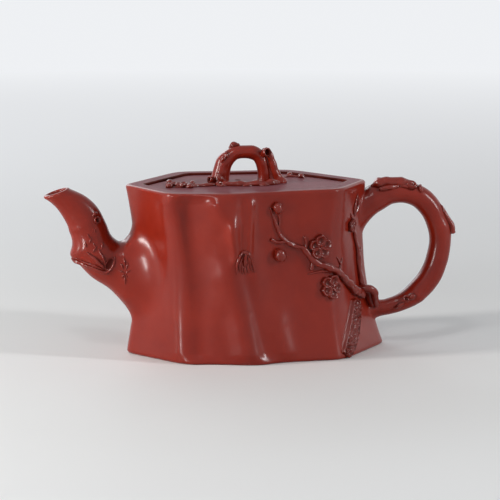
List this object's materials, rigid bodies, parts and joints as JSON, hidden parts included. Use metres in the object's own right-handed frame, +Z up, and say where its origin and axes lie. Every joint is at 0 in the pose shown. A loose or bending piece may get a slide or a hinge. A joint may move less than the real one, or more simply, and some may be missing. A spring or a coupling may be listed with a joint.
{
  "type": "teapot",
  "caption": "Red stoneware teapot shaped as a hexagonal plum-tree stump, with branch spout and handle, applied plum sprigs and an inset hexagonal lift-off lid with a twig knob.",
  "frame": {"origin": "centre of the pot's foot, on the surface it rests on", "axes": "+Z up, +X towards the handle, -X towards the spout, -Y the side with the plum branch"},
  "size_m": [0.1622, 0.0703, 0.0804],
  "materials": {
    "clay": "satin unglazed red stoneware, burnished",
    "clay_dark": "matt unglazed red stoneware",
    "clay_relief": "satin unglazed red stoneware, burnished relief"
  },
  "bodies": {
    "pot": {"trunk_wall": "clay", "floor_slab": "clay_dark", "crown_slab": "clay", "spout": "clay", "spout_strainer": "clay_dark", "spout_collar": "clay", "spout_knot": "clay", "handle": "clay", "handle_top_knot": "clay", "handle_side_stub": "clay", "handle_lower_knot": "clay", "root_loop": "clay", "plum_branch": "clay", "plum_twigs": "clay", "blossom_upper": "clay_relief", "blossom_lower": "clay_relief", "bud_top": "clay_relief", "bud_ball": "clay_relief", "bark_hollow": "clay_dark", "side_branch": "clay", "side_blossom": "clay_relief", "side_scar": "clay"},
    "lid": {"lid_slab": "clay", "lid_flange": "clay_dark", "knob": "clay", "knob_root": "clay", "knob_bump": "clay", "knob_leaf": "clay", "lid_branch": "clay", "lid_ridge": "clay", "lid_blossoms": "clay_relief", "lid_buds": "clay_relief"}
  },
  "joints": [
    {"name": "lid_lift", "type": "slide", "parent": "pot", "child": "lid", "axis": [0, 0, 1], "range_m": [0, 0.05]}
  ]
}
